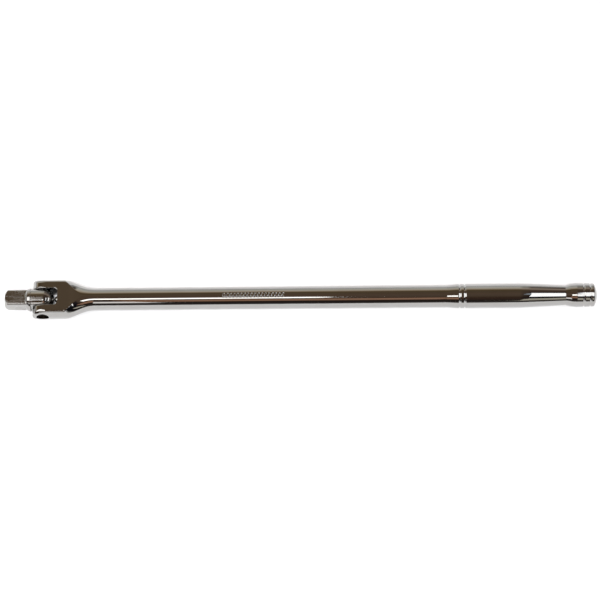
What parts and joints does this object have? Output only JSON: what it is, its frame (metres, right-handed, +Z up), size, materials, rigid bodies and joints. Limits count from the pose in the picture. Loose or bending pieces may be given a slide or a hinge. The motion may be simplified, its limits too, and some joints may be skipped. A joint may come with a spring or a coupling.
{
  "type": "breaker bar",
  "caption": "Long one-piece steel bar with a turned grip at one end and a fork at the other, in which a square drive head swings on a pin.",
  "frame": {"origin": "middle of the bar's length and width, on the surface that the bar lies on", "axes": "+X along the bar from the drive to the knob, +Y along the hinge pin towards the face that holds the socket detent, +Z up, square to the fork's flats"},
  "size_m": [0.46, 0.03, 0.0186],
  "materials": {
    "chrome_bar": "mirror chrome plate over polished forged steel",
    "chrome_head": "chrome plate, satin on the drive's flats",
    "pin_steel": "ground and hardened steel",
    "ball_steel": "polished bearing ball",
    "spring_steel": "drawn spring wire"
  },
  "bodies": {
    "handle": {"handle": "chrome_bar", "hinge_pin": "pin_steel", "friction_spring": "spring_steel"},
    "drive_head": {"drive_head": "chrome_head", "detent_spring": "spring_steel"},
    "detent_ball": {"detent_ball": "ball_steel"},
    "friction_ball": {"friction_ball": "ball_steel"}
  },
  "joints": [
    {"name": "head_pivot", "type": "hinge", "parent": "handle", "child": "drive_head", "pos_m": [-0.2005, 0, 0.0093], "axis": [0, 1, 0], "range_deg": [-98, 98]},
    {"name": "detent_ball_press", "type": "slide", "parent": "drive_head", "child": "detent_ball", "axis": [0, -1, 0], "range_m": [0, 0.0009], "stiffness_N_per_m": 2000, "springref_m": -0.001, "deforming": ["detent_spring"]},
    {"name": "friction_ball_press", "type": "slide", "parent": "handle", "child": "friction_ball", "axis": [1, 0, 0], "range_m": [0, 0.0008], "stiffness_N_per_m": 4000, "springref_m": -0.002, "deforming": ["friction_spring"]}
  ]
}
